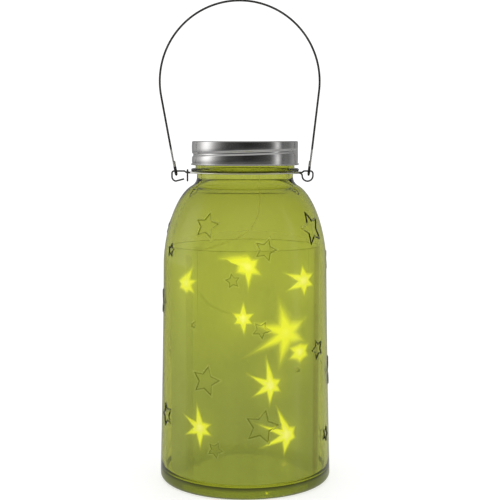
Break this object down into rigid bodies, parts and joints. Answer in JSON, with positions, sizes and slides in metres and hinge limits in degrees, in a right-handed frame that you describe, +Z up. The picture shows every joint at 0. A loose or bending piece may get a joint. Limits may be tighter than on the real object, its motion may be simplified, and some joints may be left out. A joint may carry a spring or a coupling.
{
  "type": "mason jar lantern",
  "caption": "Tall embossed glass storage jar with a screw lid, a wire bail handle and a rolled clear film inside that turns a string of micro lights into stars.",
  "frame": {"origin": "centre of the jar's foot ring, on the surface that it stands on", "axes": "+Z up along the jar's axis, +X to the right ear of the bail, -Y the front"},
  "size_m": [0.116, 0.116, 0.322],
  "materials": {
    "jar_glass": "clear, yellow-green tint",
    "film": "clear film",
    "wire_steel": "bright drawn wire",
    "band_steel": "satin",
    "seal_rubber": "matte",
    "screw_steel": "bright",
    "black_plastic": "matte",
    "white_plastic": "satin",
    "cell_sleeve": "plain printed sleeve",
    "board_green": "solder mask",
    "lead_wire": "lacquered wire",
    "bead_resin": "lit warm white"
  },
  "bodies": {
    "jar": {"glass_jar": "jar_glass", "star_film": "film", "film_tape": "film", "neck_wire": "wire_steel"},
    "light_unit": {"lid_disc": "band_steel", "lid_gasket": "seal_rubber", "lid_screws": "screw_steel", "battery_housing": "black_plastic", "battery_cell_left": "cell_sleeve", "battery_cell_right": "cell_sleeve", "contact_springs": "screw_steel", "contact_plates": "screw_steel", "driver_board": "board_green", "driver_chip": "black_plastic", "board_screws": "screw_steel", "switch_body": "black_plastic", "string_grommet": "seal_rubber", "light_string": "lead_wire", "light_beads": "bead_resin"},
    "screw_band": {"lid_band": "band_steel"},
    "bail": {"bail_handle": "wire_steel"},
    "door": {"battery_door": "black_plastic"},
    "slider": {"switch_slider": "white_plastic"}
  },
  "joints": [
    {"name": "lid_rise", "type": "slide", "parent": "jar", "child": "light_unit", "axis": [0, 0, 1], "range_m": [0, 0.00635]},
    {"name": "band_turn", "type": "hinge", "parent": "light_unit", "child": "screw_band", "pos_m": [0, 0, 0.22], "axis": [0, 0, 1], "range_deg": [0, 360]},
    {"name": "bail_swing", "type": "hinge", "parent": "jar", "child": "bail", "pos_m": [0, 0, 0.20895], "axis": [1, 0, 0], "range_deg": [-145, 145]},
    {"name": "door_hinge", "type": "hinge", "parent": "light_unit", "child": "door", "pos_m": [0, -0.01245, 0.2141], "axis": [1, 0, 0], "range_deg": [-95, 0]},
    {"name": "switch_slide", "type": "slide", "parent": "light_unit", "child": "slider", "axis": [1, 0, 0], "range_m": [0, 0.002]}
  ],
  "couplings": [
    {"joint": "band_turn", "follows": "lid_rise", "rad_per_m": 989.48}
  ]
}
